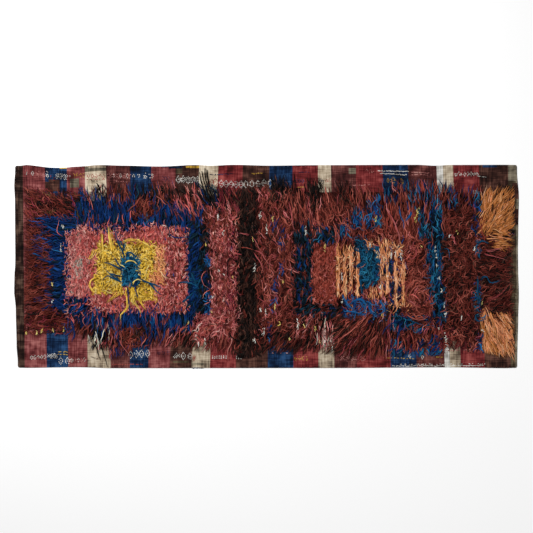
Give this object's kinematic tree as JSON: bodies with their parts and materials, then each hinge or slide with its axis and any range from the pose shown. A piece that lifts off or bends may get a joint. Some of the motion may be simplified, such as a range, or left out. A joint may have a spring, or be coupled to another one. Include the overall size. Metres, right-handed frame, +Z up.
{
  "type": "tulu rug",
  "caption": "Long shaggy tulu rug: striped flatwoven wool ground with fields of long tied-in mohair locks, lying flat on the floor.",
  "frame": {"origin": "on the floor under the middle of the ground cloth", "axes": "+X along the rug's length, +Y across its width towards the picture's upper edge, +Z up out of the pile"},
  "size_m": [3.0278, 1.22, 0.0448],
  "materials": {
    "ground_cloth": "flatwoven wool, warp stripes with rows of small brocaded figures",
    "madder_mohair": "long glossy hand-spun mohair locks, dyed in the yarn, lightly felted",
    "dark_madder_mohair": "long glossy hand-spun mohair locks, dyed in the yarn, lightly felted",
    "brick_mohair": "long glossy hand-spun mohair locks, dyed in the yarn, lightly felted",
    "rose_mohair": "long glossy hand-spun mohair locks, dyed in the yarn, lightly felted",
    "pink_mohair": "long glossy hand-spun mohair locks, dyed in the yarn, lightly felted",
    "navy_mohair": "long glossy hand-spun mohair locks, dyed in the yarn, lightly felted",
    "blue_mohair": "long glossy hand-spun mohair locks, dyed in the yarn, lightly felted",
    "bright_blue_mohair": "long glossy hand-spun mohair locks, dyed in the yarn, lightly felted",
    "teal_mohair": "long glossy hand-spun mohair locks, dyed in the yarn, lightly felted",
    "yellow_mohair": "long glossy hand-spun mohair locks, dyed in the yarn, lightly felted",
    "orange_mohair": "long glossy hand-spun mohair locks, dyed in the yarn, lightly felted",
    "peach_mohair": "long glossy hand-spun mohair locks, dyed in the yarn, lightly felted",
    "copper_mohair": "long glossy hand-spun mohair locks, dyed in the yarn, lightly felted",
    "black_brown_mohair": "long glossy hand-spun mohair locks, dyed in the yarn, lightly felted"
  },
  "bodies": {
    "root": {"ground": "ground_cloth", "pile_west_end": "madder_mohair", "pile_west_head": "madder_mohair", "pile_west_foot": "madder_mohair", "pile_west_bar": "navy_mohair", "pile_navy_head": "navy_mohair", "pile_navy_foot": "navy_mohair", "pile_pink_west": "pink_mohair", "pile_yellow_medallion": "yellow_mohair", "pile_pink_east": "pink_mohair", "pile_middle_bar": "blue_mohair", "pile_rose_band": "rose_mohair", "pile_dark_band": "black_brown_mohair", "pile_madder_band": "madder_mohair", "pile_crest_west": "dark_madder_mohair", "pile_crest_middle": "bright_blue_mohair", "pile_crest_east": "dark_madder_mohair", "pile_east_bar": "navy_mohair", "pile_brick_field": "brick_mohair", "pile_peach_field": "peach_mohair", "pile_teal_heart": "teal_mohair", "pile_orange_field": "orange_mohair", "pile_madder_curls": "madder_mohair", "pile_blue_bar": "blue_mohair", "pile_hem_west": "dark_madder_mohair", "pile_hem_east": "dark_madder_mohair", "pile_east_band": "madder_mohair", "pile_east_end": "dark_madder_mohair", "pile_copper_head": "copper_mohair", "pile_copper_foot": "copper_mohair"}
  },
  "joints": []
}
